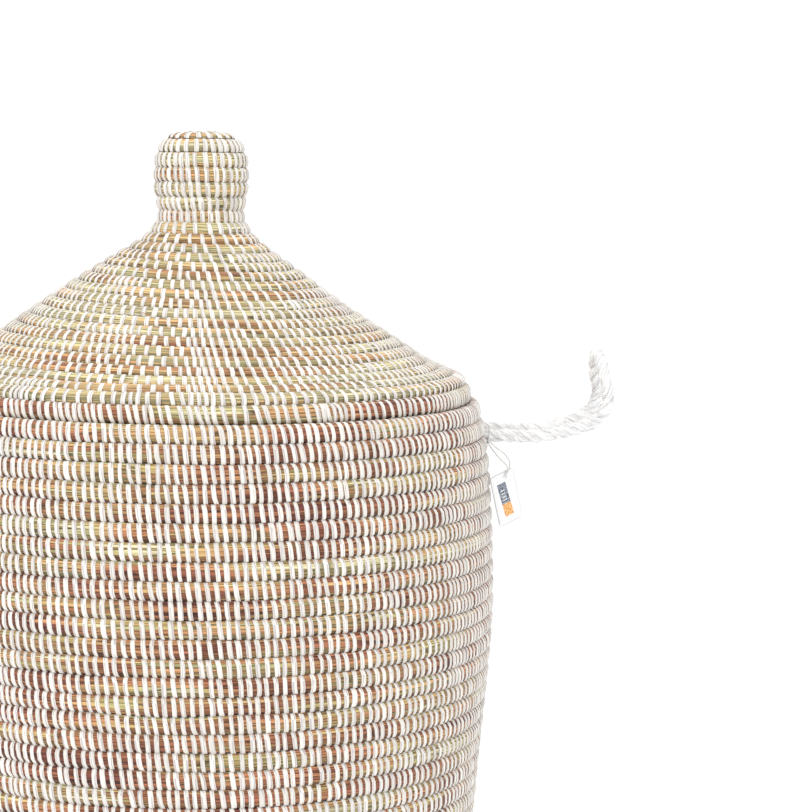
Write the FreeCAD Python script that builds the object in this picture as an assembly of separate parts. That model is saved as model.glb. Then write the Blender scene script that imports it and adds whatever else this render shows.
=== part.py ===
import FreeCAD, Part
import math
import os

from FreeCAD import Vector

# Lidded laundry hamper of coiled grass: a round base, a barrel-shaped wall of stacked
# courses, a conical lid with a hollow knob, two rope handles and a hang tag on a string.
# Millimetres. +Z is up, the basket stands on z = 0 with its axis on Z, and the handles
# are on +X and -X. Each course of the coil is drawn as a closed ring whose rounded
# sides meet the next course in a groove.

# --- driving dimensions -------------------------------------------------------------
COURSE_PITCH = 12.6          # height of one wall course
WALL_COURSES = 36            # foot course, 34 wall courses and the rim course
WALL_THICKNESS = 12.0        # coil thickness, from the inside bulge to the outside bulge
WALL_JOINT = 7.2             # width of the joint face between two wall courses
RIM_Z = COURSE_PITCH * WALL_COURSES

# outside of the wall: height above the floor as a share of RIM_Z, and radius
WALL_OUTLINE = [(0.0, 182.0), (0.12, 191.5), (0.27, 199.8), (0.43, 206.4), (0.52, 210.0),
                (0.60, 213.2), (0.69, 215.0), (0.78, 213.7), (0.87, 211.5), (0.94, 208.4),
                (1.0, 202.0)]
WALL_BANDS = [(2, 8), (9, 15), (16, 22), (23, 29), (30, 35)]

BASE_CENTRE_Z = 7.4          # middle of the flat base coil, a little clear of the floor
BASE_THICKNESS = 12.0
BASE_PLAY = 0.7              # between the base and the bulge of the foot course
BASE_BUTTON_R = 13.0         # tight start of the base coil
BASE_SPLIT_R = 91.0
BASE_INNER_COURSES = 6
BASE_OUTER_COURSES = 6

LID_GAP = 0.3                # play between the rim and the closed lid
LID_THICKNESS = 10.4
LID_JOINT = 6.2
# middle of the lid's coil: radius, and height above the rim
LID_EDGE_LINE = [(191.6, 0.0), (191.9, 6.5), (190.6, 12.2)]
LID_CONE_LINE = [(190.6, 12.2), (186.5, 14.8), (179.0, 17.6), (165.0, 23.6), (140.0, 40.0),
                 (113.0, 57.0), (88.0, 74.4), (64.0, 92.0), (44.8, 105.8), (33.2, 116.0),
                 (27.2, 126.5)]
LID_CONE_COURSES = 19
LID_BANDS = [(1, 6), (7, 12), (13, 19)]
KNOB_THICKNESS = 8.8
KNOB_JOINT = 5.2
KNOB_LINE = [(27.2, 126.5), (25.8, 133.5), (27.8, 141.0), (29.2, 149.0), (29.8, 157.0),
             (29.7, 166.0), (29.0, 174.5), (26.2, 181.8), (21.5, 186.3), (13.0, 187.8)]
KNOB_COURSES = 7
KNOB_BANDS = [(1, 3), (4, 7)]
KNOB_BUTTON_R = 13.0
KNOB_BUTTON_Z = 187.8

LOCATING_OUTER_R = 186.4     # ring inside the lid's edge that drops inside the rim
LOCATING_BOTTOM = -9.6
LOCATING_TOP = 3.0

ROPE_R = 4.75
HANDLE_Z = -24.0             # handle height, from the rim
HANDLE_HALF_GAP = 25.0       # half the distance between the two legs of a handle
HINGE_X = 213.0              # where a leg leaves the wall and starts to bend
STUB_GAP = 0.35              # between the fixed stub of rope and the swinging leg
# one half of a handle loop, from the wall to the middle of the grip: x, y, height from the rim
HANDLE_HALF_ROUTE = [(HINGE_X, -25.0, -24.0), (240.0, -25.0, -25.2), (266.0, -25.0, -21.6),
                     (288.0, -25.0, -14.5), (297.0, -25.0, 0.0), (293.8, -24.6, 16.0),
                     (291.5, -17.4, 29.0)]
HANDLE_TOP = (291.0, 0.0, 34.2)
KNOT_R = 8.0
KNOT_TAIL_R = 3.0            # flat tail where the rope's end was cut off
KNOT_X = 188.5

STRING_R = 0.5
# two strands of the tag's string, from the foot of the right handle to the card's hole
UPPER_STRAND = [(207.9, -31.2, -27.6), (212.8, -35.0, -32.4), (219.4, -38.8, -36.2),
                (223.9, -41.8, -44.6), (218.6, -40.9, -52.4)]
LOWER_STRAND = [(207.8, -31.8, -30.0), (211.3, -36.0, -35.0), (215.6, -39.6, -40.2),
                (222.4, -43.0, -46.2), (217.8, -41.6, -53.0)]
CARD_WIDTH = 24.0
CARD_HEIGHT = 38.0
CARD_THICKNESS = 0.8
CARD_CORNER_R = 3.0
CARD_HOLE_R = 1.7
CARD_HOLE_SIDE = 2.5         # hole's place right of the card's middle
CARD_HOLE_DROP = 4.0         # and below its top edge
CARD_TURN = 37.7             # degrees, how far the card is turned to face -Y and +X
CARD_LEAN = 16.0             # degrees, how far its lower end leans outwards

ARC_SHARE = 0.45             # share of the shorter run that a corner's arc takes
SHOULDER = 0.72              # height of a button's dome halfway down its shoulder


LEVEL = Vector(1, 0, 0)
UPRIGHT = Vector(0, 0, 1)


# --- coil sections --------------------------------------------------------------------
def in_plane(r, z):
    return Vector(r, 0.0, z)


def line_curve(points):
    """Smooth curve through (radius, height) points, in the XZ plane."""
    curve = Part.BSplineCurve()
    curve.interpolate([in_plane(r, z) for r, z in points])
    return curve


def joints_along(points, count, first_side=None, last_side=None):
    """Places between courses: count + 1 (point, sideways direction) pairs, equally far
    apart along the smooth line through the points. Sideways is to the line's right,
    unless the first or the last joint is given its own direction."""
    curve = line_curve(points)
    places = []
    for point in curve.toShape().discretize(Number=count + 1):
        tangent = curve.tangent(curve.parameter(point))[0]
        places.append((point, Vector(tangent.z, 0.0, -tangent.x)))
    if first_side:
        places[0] = (places[0][0], first_side)
    if last_side:
        places[-1] = (places[-1][0], last_side)
    return places


def bulge(start, end, side, rise):
    """Arc from start to end that stands out by rise on the given side of the chord."""
    chord = end - start
    out = Vector(chord.z, 0.0, -chord.x).normalize()
    middle = (start + end) * 0.5 + out * (rise * side)
    return Part.Arc(start, middle, end).toShape()


def revolve(edges, centre=Vector(0, 0, 0), axis=UPRIGHT):
    face = Part.Face(Part.Wire(edges))
    solid = face.revolve(centre, axis, 360)
    return Part.Solid(solid.Shells[0]) if solid.ShapeType != "Solid" else solid


def coil_band(joints, thickness, joint):
    """One closed band of courses between its first and last joint."""
    half = joint / 2
    rise = (thickness - joint) / 2
    outer = [point + side * half for point, side in joints]
    inner = [point - side * half for point, side in joints]
    edges = [bulge(a, b, 1, rise) for a, b in zip(outer, outer[1:])]
    edges.append(Part.LineSegment(outer[-1], inner[-1]).toShape())
    back = inner[::-1]
    edges += [bulge(a, b, 1, rise) for a, b in zip(back, back[1:])]
    edges.append(Part.LineSegment(inner[0], outer[0]).toShape())
    return revolve(edges)


def button(radius, middle_z, joint, rise):
    """Round start of a coil: a disc with a flat middle, domed shoulders and an upright edge."""
    flat_r = radius / 3
    way_r = 2 * radius / 3
    top_z = middle_z + joint / 2
    low_z = middle_z - joint / 2
    edges = [
        Part.LineSegment(in_plane(0, low_z - rise), in_plane(0, top_z + rise)).toShape(),
        Part.LineSegment(in_plane(0, top_z + rise), in_plane(flat_r, top_z + rise)).toShape(),
        Part.Arc(in_plane(flat_r, top_z + rise), in_plane(way_r, top_z + rise * SHOULDER),
                 in_plane(radius, top_z)).toShape(),
        Part.LineSegment(in_plane(radius, top_z), in_plane(radius, low_z)).toShape(),
        Part.Arc(in_plane(radius, low_z), in_plane(way_r, low_z - rise * SHOULDER),
                 in_plane(flat_r, low_z - rise)).toShape(),
        Part.LineSegment(in_plane(flat_r, low_z - rise), in_plane(0, low_z - rise)).toShape(),
    ]
    return revolve(edges)


# --- basket ------------------------------------------------------------------------------
def wall_joints():
    """Joints of the wall; the foot's underside and the rim's top face lie level."""
    line = [(r - WALL_THICKNESS / 2, share * RIM_Z) for share, r in WALL_OUTLINE]
    return joints_along(line, WALL_COURSES, LEVEL, LEVEL)


def wall_course(joints, first, last):
    return coil_band(joints[first - 1:last + 1], WALL_THICKNESS, WALL_JOINT)


def base_ring(inner_r, outer_r, count):
    pitch = (outer_r - inner_r) / count
    joints = [(in_plane(inner_r + i * pitch, BASE_CENTRE_Z), UPRIGHT * -1) for i in range(count + 1)]
    return coil_band(joints, BASE_THICKNESS, WALL_JOINT)


def base_radius(joints):
    """Radius of the base: just inside the foot course."""
    low, high = joints[0][0], joints[1][0]
    return (low.x + high.x) / 2 - WALL_THICKNESS / 2 - BASE_PLAY


def handle_anchors(sign):
    """The two rope ends of one handle: each goes through the wall to a round knot inside.
    A rope end is turned about its own centre line, from the knot's flat tail outwards."""
    tail_x = -math.sqrt(KNOT_R ** 2 - KNOT_TAIL_R ** 2)
    neck_x = math.sqrt(KNOT_R ** 2 - ROPE_R ** 2)
    end_x = HINGE_X - ROPE_R - STUB_GAP - KNOT_X
    ends = []
    for y in (-HANDLE_HALF_GAP, HANDLE_HALF_GAP):
        knot_centre = Vector(sign * KNOT_X, y, RIM_Z + HANDLE_Z)
        profile = [(tail_x, 0), (tail_x, KNOT_TAIL_R), (0, KNOT_R), (neck_x, ROPE_R),
                   (end_x, ROPE_R), (end_x, 0)]
        tail_middle, tail, crown, neck, end, end_middle = [
            knot_centre + Vector(sign * x, 0, r) for x, r in profile]
        edges = [
            Part.LineSegment(tail_middle, tail).toShape(),
            Part.Arc(tail, crown, neck).toShape(),
            Part.LineSegment(neck, end).toShape(),
            Part.LineSegment(end, end_middle).toShape(),
            Part.LineSegment(end_middle, tail_middle).toShape(),
        ]
        ends.append(revolve(edges, knot_centre, LEVEL))
    return Part.makeCompound(ends)


# --- lid -----------------------------------------------------------------------------------
def above_rim(points):
    return [(r, RIM_Z + LID_GAP + z) for r, z in points]


def locating_ring():
    middle_r = LOCATING_OUTER_R - LID_THICKNESS / 2
    joints = joints_along(above_rim([(middle_r, LOCATING_BOTTOM), (middle_r, LOCATING_TOP)]), 1)
    return coil_band(joints, LID_THICKNESS, LID_JOINT)


# --- ropes and strings -----------------------------------------------------------------------
def tube(route, radius):
    """Tube along straight runs joined by tangent arcs. Returns it with its arcs' radii
    and the length of its centre line."""
    points = [Vector(*p) for p in route]
    edges = []
    radii = []
    start = points[0]
    for before, corner, after in zip(points, points[1:], points[2:]):
        way_in = corner - before
        way_out = after - corner
        shorter = min(way_in.Length, way_out.Length)
        way_in.normalize()
        way_out.normalize()
        turn = way_in.getAngle(way_out)
        trim = ARC_SHARE * shorter
        radii.append(trim / math.tan(turn / 2))
        arc_start = corner - way_in * trim
        arc_end = corner + way_out * trim
        inward = (way_out - way_in).normalize()
        nearest = radii[-1] * (1 / math.cos(turn / 2) - 1)
        edges.append(Part.LineSegment(start, arc_start).toShape())
        edges.append(Part.Arc(arc_start, corner + inward * nearest, arc_end).toShape())
        start = arc_end
    edges.append(Part.LineSegment(start, points[-1]).toShape())
    path = Part.Wire(edges)
    first = (points[1] - points[0]).normalize()
    section = Part.Wire(Part.makeCircle(radius, points[0], first))
    shape = path.makePipeShell([section], True, False)
    return shape, radii, path.Length


def report_tube(name, shape, radii, length, radius):
    ideal = math.pi * radius ** 2 * length
    print(f"{name}: length {length:.1f} mm, arc radii "
          + " ".join(f"{r:.1f}" for r in radii)
          + f", volume share {shape.Volume / ideal:.4f}")


def handle_route():
    half = [(x, y, RIM_Z + z) for x, y, z in HANDLE_HALF_ROUTE]
    top = (HANDLE_TOP[0], HANDLE_TOP[1], RIM_Z + HANDLE_TOP[2])
    return half + [top] + [(x, -y, z) for x, y, z in reversed(half)]


def handle(sign):
    """One rope loop, with a rounded end at each leg where it bends at the wall."""
    route = handle_route()
    loop, radii, length = tube(route, ROPE_R)
    report_tube("handle rope", loop, radii, length, ROPE_R)
    ends = [Part.makeSphere(ROPE_R, Vector(*route[0])), Part.makeSphere(ROPE_R, Vector(*route[-1]))]
    solid = loop.fuse(ends).Solids[0]
    return solid if sign > 0 else solid.mirror(Vector(0, 0, 0), Vector(1, 0, 0))


def strand(name, route):
    shape, radii, length = tube([(x, y, RIM_Z + z) for x, y, z in route], STRING_R)
    report_tube(name, shape, radii, length, STRING_R)
    return shape


def tag_card():
    """Rounded card with a punched hole, drawn flat about its hole and then hung from it."""
    low_y = CARD_HOLE_DROP - CARD_HEIGHT
    left_x = -CARD_WIDTH / 2 - CARD_HOLE_SIDE
    card = Part.makeBox(CARD_WIDTH, CARD_HEIGHT, CARD_THICKNESS, Vector(left_x, low_y, -CARD_THICKNESS / 2))
    upright = [e for e in card.Edges if abs(e.tangentAt(e.FirstParameter).z) > 0.9]
    card = card.makeFillet(CARD_CORNER_R, upright)
    hole = Part.makeCylinder(CARD_HOLE_R, 3 * CARD_THICKNESS, Vector(0, 0, -1.5 * CARD_THICKNESS))
    card = card.cut(hole).Solids[0]
    card.rotate(Vector(0, 0, 0), Vector(0, 0, 1), CARD_LEAN)
    card.rotate(Vector(0, 0, 0), Vector(1, 0, 0), 90)
    card.rotate(Vector(0, 0, 0), Vector(0, 0, 1), CARD_TURN)
    x, y, z = UPPER_STRAND[-1]
    card.translate(Vector(x, y, RIM_Z + z))
    return card


# --- all nodes -----------------------------------------------------------------------------------
def build():
    nodes = {}
    wall = wall_joints()
    nodes["base_button"] = button(BASE_BUTTON_R, BASE_CENTRE_Z, WALL_JOINT,
                                  (BASE_THICKNESS - WALL_JOINT) / 2)
    nodes["base_inner_courses"] = base_ring(BASE_BUTTON_R, BASE_SPLIT_R, BASE_INNER_COURSES)
    nodes["base_outer_courses"] = base_ring(BASE_SPLIT_R, base_radius(wall), BASE_OUTER_COURSES)
    nodes["foot_course"] = wall_course(wall, 1, 1)
    for first, last in WALL_BANDS:
        nodes[f"wall_courses_{first:02d}_to_{last:02d}"] = wall_course(wall, first, last)
    nodes["rim_course"] = wall_course(wall, WALL_COURSES, WALL_COURSES)
    nodes["right_handle_anchors"] = handle_anchors(1)
    nodes["left_handle_anchors"] = handle_anchors(-1)

    cone = joints_along(above_rim(LID_CONE_LINE), LID_CONE_COURSES)
    edge = joints_along(above_rim(LID_EDGE_LINE), 1, LEVEL, cone[0][1])
    nodes["lid_edge_course"] = coil_band(edge, LID_THICKNESS, LID_JOINT)
    nodes["lid_locating_ring"] = locating_ring()
    for first, last in LID_BANDS:
        band = coil_band(cone[first - 1:last + 1], LID_THICKNESS, LID_JOINT)
        nodes[f"lid_courses_{first:02d}_to_{last:02d}"] = band
    knob = joints_along(above_rim(KNOB_LINE), KNOB_COURSES, cone[-1][1], UPRIGHT)
    for first, last in KNOB_BANDS:
        band = coil_band(knob[first - 1:last + 1], KNOB_THICKNESS, KNOB_JOINT)
        nodes[f"knob_courses_{first:02d}_to_{last:02d}"] = band
    nodes["knob_button"] = button(KNOB_BUTTON_R, RIM_Z + LID_GAP + KNOB_BUTTON_Z, KNOB_JOINT,
                                  (KNOB_THICKNESS - KNOB_JOINT) / 2)

    nodes["right_handle_rope"] = handle(1)
    nodes["left_handle_rope"] = handle(-1)
    nodes["tag_string_upper"] = strand("tag string, upper strand", UPPER_STRAND)
    nodes["tag_string_lower"] = strand("tag string, lower strand", LOWER_STRAND)
    nodes["tag_card"] = tag_card()
    return nodes


os.makedirs("parts", exist_ok=True)
for node, shape in build().items():
    shape.exportStep(f"parts/{node}.step")
    box = shape.optimalBoundingBox()
    print(f"{node}: {len(shape.Solids)} solid(s), valid {shape.isValid()}, {shape.Volume / 1000:.1f} cm3, "
          f"x {box.XMin:.1f}..{box.XMax:.1f} y {box.YMin:.1f}..{box.YMax:.1f} z {box.ZMin:.1f}..{box.ZMax:.1f}")
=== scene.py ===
# %% [markdown]
# # A lidded laundry hamper of coiled grass
# The hamper is made the way a coil basket is made. A bundle of dry grass is wound round and
# round, and a white plastic strip wraps each new course and pierces the course below it.
# This lesson makes the ropes and the tag first, then the coil and its strips, and last the
# finishes and the light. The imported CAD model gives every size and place.

# %% Load the frame
import math

import bmesh
import bpy
import numpy as np
from mathutils import Matrix, Vector


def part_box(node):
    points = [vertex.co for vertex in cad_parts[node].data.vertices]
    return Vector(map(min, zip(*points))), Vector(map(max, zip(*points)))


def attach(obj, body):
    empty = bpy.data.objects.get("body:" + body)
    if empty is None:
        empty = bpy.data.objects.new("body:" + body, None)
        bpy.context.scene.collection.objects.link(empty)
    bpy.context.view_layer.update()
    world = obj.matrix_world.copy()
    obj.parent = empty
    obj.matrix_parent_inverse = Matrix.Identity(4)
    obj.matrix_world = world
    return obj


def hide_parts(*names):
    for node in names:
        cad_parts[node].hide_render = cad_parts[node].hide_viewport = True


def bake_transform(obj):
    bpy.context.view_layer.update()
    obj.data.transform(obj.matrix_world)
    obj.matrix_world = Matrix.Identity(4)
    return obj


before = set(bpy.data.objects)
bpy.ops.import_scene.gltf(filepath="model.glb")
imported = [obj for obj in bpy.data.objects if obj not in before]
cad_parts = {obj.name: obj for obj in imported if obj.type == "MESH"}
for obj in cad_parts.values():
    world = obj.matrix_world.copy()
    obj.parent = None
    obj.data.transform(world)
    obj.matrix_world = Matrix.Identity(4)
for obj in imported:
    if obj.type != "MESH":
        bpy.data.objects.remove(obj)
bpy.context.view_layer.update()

# %% Main places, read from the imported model
MM = 0.001
RIM_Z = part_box("rim_course")[1][2]
LID_Z = RIM_Z + 0.3 * MM

# %% [markdown]
# ## Camera
# The hamper is seen from a little above the rim, well to its right, so that the knob, the lid
# and the right handle fill the picture and the left side runs out of it. A long lens keeps the
# courses nearly level. No shift is used, so other views keep the basket in the middle.

# %% Camera
def new_object(name, data):
    """New object in the scene that shows the given data."""
    made = bpy.data.objects.new(name, data)
    bpy.context.collection.objects.link(made)
    return made


def make_camera(place, yaw, pitch, roll, lens):
    """Camera at place that looks along +Y turned right by yaw and up by pitch, in degrees."""
    data = bpy.data.cameras.new("camera")
    data.lens = lens
    camera = new_object("camera", data)
    yaw, pitch, roll = np.radians([yaw, pitch, roll])
    ahead = np.array([math.sin(yaw) * math.cos(pitch), math.cos(yaw) * math.cos(pitch),
                      math.sin(pitch)])
    level = np.cross(ahead, [0, 0, 1])
    level /= np.linalg.norm(level)
    above = np.cross(level, ahead)
    right = level * math.cos(roll) + above * math.sin(roll)
    top = above * math.cos(roll) - level * math.sin(roll)
    matrix = np.eye(4)
    matrix[:3, 0], matrix[:3, 1], matrix[:3, 2], matrix[:3, 3] = right, top, -ahead, place
    camera.matrix_world = Matrix(matrix.tolist())
    bpy.context.scene.camera = camera
    return camera


camera = make_camera((-0.0126, -1.8842, RIM_Z + 0.1768), yaw=4.94, pitch=-5.506, roll=0.676,
                     lens=115.03)
print("camera", [round(v, 3) for v in camera.location])

# %% [markdown]
# ## Putting a surface into a mesh
# Every new piece is a grid of points. A coil closes on itself both ways, a rope only round its
# section. One helper turns whole arrays of points into a mesh, with no loop over vertices.

# %% Grids to meshes
def grid_faces(rows, cols, close_rows, close_cols):
    """Corner numbers of the quads between neighbouring points of a rows x cols grid, and each
    corner's own (row, col) counted on without wrapping, for a texture map with one seam."""
    i = np.arange(rows if close_rows else rows - 1)
    j = np.arange(cols if close_cols else cols - 1)
    i, j = [a.ravel() for a in np.meshgrid(i, j, indexing="ij")]
    corner_i = np.stack([i, i + 1, i + 1, i], 1)
    corner_j = np.stack([j, j, j + 1, j + 1], 1)
    return (corner_i % rows) * cols + corner_j % cols, corner_i, corner_j


def mesh_piece(name, points, faces, uv, marks=None, weld=False):
    """New object from points (n, 3) and quads (m, 4), with a map value per corner and optional
    named numbers per point. Weld merges points that lie together, which closes a pole."""
    mesh = bpy.data.meshes.new(name)
    mesh.vertices.add(len(points))
    mesh.vertices.foreach_set("co", np.ascontiguousarray(points, dtype=np.float32).ravel())
    mesh.loops.add(faces.size)
    mesh.loops.foreach_set("vertex_index", faces.astype(np.int32).ravel())
    mesh.polygons.add(len(faces))
    mesh.polygons.foreach_set("loop_start", np.arange(0, faces.size, 4, dtype=np.int32))
    mesh.polygons.foreach_set("use_smooth", np.full(len(faces), True))
    layer = mesh.uv_layers.new(name="UVMap")
    layer.data.foreach_set("uv", uv.astype(np.float32).ravel())
    for mark_name, values in (marks or {}).items():
        mark = mesh.attributes.new(mark_name, "FLOAT", "POINT")
        mark.data.foreach_set("value", values.astype(np.float32).ravel())
    mesh.update(calc_edges=True)
    if weld:
        shape = bmesh.new()
        shape.from_mesh(mesh)
        bmesh.ops.remove_doubles(shape, verts=shape.verts, dist=1e-6)
        shape.to_mesh(mesh)
        shape.free()
    mesh.validate()
    return new_object(name, mesh)


def joined_grids(grids, close_rows, close_cols):
    """Many grids of one size, points (count, rows, cols, 3), as one list of points and quads."""
    count, rows, cols = grids.shape[:3]
    quads, corner_i, corner_j = grid_faces(rows, cols, close_rows, close_cols)
    step = rows * cols * np.arange(count)
    faces = (quads[None] + step[:, None, None]).reshape(-1, 4)
    return grids.reshape(-1, 3), faces, corner_i, corner_j


# %% [markdown]
# ## Ropes and strings come first
# Each handle is one length of white plastic rope that leaves the wall in two places and stands out
# as a loop, turned up at its end. Its line is a smooth NURBS through listed control points. The
# rope itself is three strands twisted round that line. The tag hangs on two thin strands of string.

# %% Routes of the ropes and strings, in millimetres, heights from the rim
HINGE_X = 213.0
HANDLE_HALF = [(HINGE_X, -25.0, -24.0), (240.0, -25.0, -25.2), (266.0, -25.0, -21.6),
               (288.0, -25.0, -14.5), (297.0, -25.0, 0.0), (293.8, -24.6, 16.0),
               (291.5, -17.4, 29.0)]
HANDLE_TOP = (291.0, 0.0, 34.2)
UPPER_STRAND = [(207.9, -31.2, -27.6), (212.8, -35.0, -32.4), (219.4, -38.8, -36.2),
                (223.9, -41.8, -44.6), (218.6, -40.9, -52.4)]
LOWER_STRAND = [(207.8, -31.8, -30.0), (211.3, -36.0, -35.0), (215.6, -39.6, -40.2),
                (222.4, -43.0, -46.2), (217.8, -41.6, -53.0)]
LEG_Y, LEG_DROP = 25.0 * MM, 24.0 * MM   # a handle's legs: beside the middle, below the rim
ROPE_R = 4.75 * MM
STRING_R = 0.5 * MM


def in_metres(route):
    """Route points as metres in the row frame."""
    return np.array(route) * MM + np.array([0, 0, RIM_Z])


def distance_along(line):
    """How far along the line each of its points is."""
    return np.r_[0, np.cumsum(np.linalg.norm(np.diff(line, axis=0), axis=1))]


def resampled(line, along, wanted):
    """Points of the line at the wanted distances along it."""
    return np.stack([np.interp(wanted, along, axis) for axis in line.T], 1)


def smooth_route(name, route, gap):
    """Points about gap apart on the open NURBS curve of a route's control points, and each
    point's distance along it."""
    points = in_metres(route)
    data = bpy.data.curves.new(name, "CURVE")
    data.dimensions = "3D"
    data.resolution_u = 24
    spline = data.splines.new("NURBS")
    spline.points.add(len(points) - 1)
    spline.points.foreach_set("co", np.c_[points, np.ones(len(points))].ravel())
    spline.order_u = 3
    spline.use_endpoint_u = True
    curve = new_object(name, data)
    mesh = bpy.data.meshes.new_from_object(curve)
    line = np.empty(3 * len(mesh.vertices))
    mesh.vertices.foreach_get("co", line)
    bpy.data.meshes.remove(mesh)
    bpy.data.objects.remove(curve)
    line = line.reshape(-1, 3)
    along = distance_along(line)
    even = np.linspace(0, along[-1], int(round(along[-1] / gap)) + 1)
    return resampled(line, along, even), even


WALL_POINT = (198.0, -25.0, -24.0)   # inside the wall, where the leg comes through it
handle_half = [WALL_POINT] + HANDLE_HALF
handle_route = handle_half + [HANDLE_TOP] + [(x, -y, z) for x, y, z in reversed(handle_half)]
handle_line, handle_along = smooth_route("handle_route", handle_route, 1.0 * MM)
print("handle rope", round(handle_along[-1], 4), "m along its line")

# %% [markdown]
# A twisted rope is three strands that wind round the line as a helix. To carry a section along
# a line without kinks, the section's first direction is projected forward from point to point.
# Each strand is a soft ribbon of crumpled plastic, so its section is lumpy and its lumps run
# along it.

# %% Twisted rope
STRANDS = 3
LAY_LENGTH = 31.0 * MM       # length of rope in which a strand goes once round


def even_angles(count):
    """Angles that divide one turn evenly, from 0."""
    return np.arange(count) * 2 * np.pi / count


def steady_frames(line):
    """The line's own direction at each point and two across it that never spin about it: the
    first is up made square to the line, and the other is the cross product of line and first."""
    ahead = np.gradient(line, axis=0)
    ahead /= np.linalg.norm(ahead, axis=1)[:, None]
    across = np.empty_like(line)
    side = np.array([0.0, 0.0, 1.0])
    for k, direction in enumerate(ahead):
        side = side - direction * (side @ direction)
        side /= np.linalg.norm(side)
        across[k] = side
    return ahead, across, np.cross(ahead, across)


def rope_strands(line, along, radius, around=14, seed=3):
    """Strand surfaces (strand, point, around, 3). A strand's middle circles the line at half
    the radius, once per lay length. Its section is an oval of about half the rope's radius,
    pressed towards the middle and crumpled by waves that run along and round it."""
    rng = np.random.default_rng(seed)
    ahead, across, other = steady_frames(line)
    turn = 2 * np.pi * along / LAY_LENGTH
    strand = even_angles(STRANDS)[:, None]
    angle = turn[None] + strand
    out = across[None] * np.cos(angle)[..., None] + other[None] * np.sin(angle)[..., None]
    flank = np.cross(ahead[None], out)
    phi = even_angles(around)
    crumple = np.zeros((STRANDS, len(line), around))
    for waves, size in ((2, 0.09), (3, 0.07), (5, 0.05)):
        phase = rng.uniform(0, 2 * np.pi, (STRANDS, 1, 1))
        drift = rng.uniform(60, 260, (STRANDS, 1, 1)) * along[None, :, None]
        crumple += size * np.sin(waves * phi[None, None] + drift + phase)
    swell = 1 + 0.08 * np.sin(2 * np.pi * along / 0.043 + strand * 1.7)
    thick = radius * 0.50 * (1 + crumple) * swell[..., None]
    wide = radius * 0.60 * (1 + crumple) * swell[..., None]
    middle = line[None] + out * (radius * 0.50)
    return (middle[:, :, None] + out[:, :, None] * (thick * np.cos(phi))[..., None]
            + flank[:, :, None] * (wide * np.sin(phi))[..., None])


def closed_ends(tubes):
    """Adds a ring at both ends of each tube that has shrunk to the end's middle point."""
    first, last = tubes[:, :1], tubes[:, -1:]
    pole_first = first.mean(axis=2, keepdims=True) + 0 * first
    pole_last = last.mean(axis=2, keepdims=True) + 0 * last
    return np.concatenate([pole_first, tubes, pole_last], axis=1)


def rope_piece(name, tubes, mirror=False):
    """Mesh of round tubes (count, points along, points around, 3), closed at their ends. Its
    map runs along in millimetres and once round each tube."""
    tubes = closed_ends(tubes)
    if mirror:
        tubes = tubes[:, :, ::-1] * np.array([-1, 1, 1])
    points, faces, corner_i, corner_j = joined_grids(tubes, False, True)
    uv = np.stack([corner_i * 1.0, corner_j / tubes.shape[2]], -1)
    uv = np.tile(uv, (len(tubes), 1, 1))
    uv[..., 1] += np.repeat(np.arange(len(tubes)), len(uv) // len(tubes))[:, None] * 3.0
    return mesh_piece(name, points, faces[:, ::-1], uv[:, ::-1], weld=True)


# %% Two handles, the left one the right one mirrored
handle_strands = rope_strands(handle_line, handle_along, ROPE_R)
handles = []
for side, sign in (("right", 1), ("left", -1)):
    rope = rope_piece(f"{side}_handle_twisted_rope", handle_strands, mirror=sign < 0)
    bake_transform(rope)
    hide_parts(f"{side}_handle_rope")
    handles.append(rope)
print("rope faces", [len(rope.data.polygons) for rope in handles])

# %% [markdown]
# Each leg of a handle goes through the wall and ends in a tight overhand knot on the inside,
# which keeps it from slipping out. An overhand knot is a trefoil: a line that goes twice round
# a ring while it rises and falls three times.

# %% Knots inside the wall
KNOT_X = 188.5 * MM
KNOT_RING = 4.4 * MM
KNOT_ROPE_R = 2.9 * MM


def tube_round(line, radius, around):
    """Round tubes (1, points, around, 3) along a line: each point plus the radius times a turn
    round the two directions across the line."""
    across, other = steady_frames(line)[1:]
    phi = even_angles(around)
    radius = np.broadcast_to(radius, len(line))[:, None, None]
    return (line[:, None] + radius * (across[:, None] * np.cos(phi)[:, None]
                                      + other[:, None] * np.sin(phi)[:, None]))[None]


def knot_tubes(sign, y):
    """The knot's trefoil, and the short length of rope from it into the wall. The trefoil is
    (2 + cos 3t)(cos 2t, sin 2t) in the wall's plane and sin 3t across it."""
    t = np.linspace(0.0, 2 * np.pi, 97) + 0.4
    ring = (2 + np.cos(3 * t)) / 2.4
    middle = np.array([sign * KNOT_X, y, RIM_Z - LEG_DROP])
    line = middle + KNOT_RING * np.stack([sign * 0.9 * np.sin(3 * t), ring * np.cos(2 * t),
                                          ring * np.sin(2 * t)], 1)
    through = middle + np.linspace(0, 12 * MM, 97)[:, None] * np.array([sign, 0, 0])
    return np.concatenate([tube_round(line, KNOT_ROPE_R, 14),
                           tube_round(through, ROPE_R * 0.94, 14)])


for side, sign in (("right", 1), ("left", -1)):
    tubes = np.concatenate([knot_tubes(sign, -LEG_Y), knot_tubes(sign, LEG_Y)])
    knots = rope_piece(f"{side}_handle_inner_knots", tubes)
    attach(knots, "basket")
    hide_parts(f"{side}_handle_anchors")
    handles.append(knots)
print("knots are", round((3 / 2.4 * KNOT_RING + KNOT_ROPE_R) / MM, 1), "mm in radius")

# %% The tag's string
def string_piece(name, node, route):
    """One strand of string: a thin round tube along its own NURBS line."""
    line, along = smooth_route(name + "_route", route, 0.8 * MM)
    strand = rope_piece(name, tube_round(line, STRING_R, 8))
    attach(strand, "hang_tag")
    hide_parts(node)
    print(name, round(along[-1] / MM, 1), "mm")
    return strand, line, float(along[-1])


upper_string = string_piece("tag_string_upper_strand", "tag_string_upper", UPPER_STRAND)
lower_string = string_piece("tag_string_lower_strand", "tag_string_lower", LOWER_STRAND)

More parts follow.
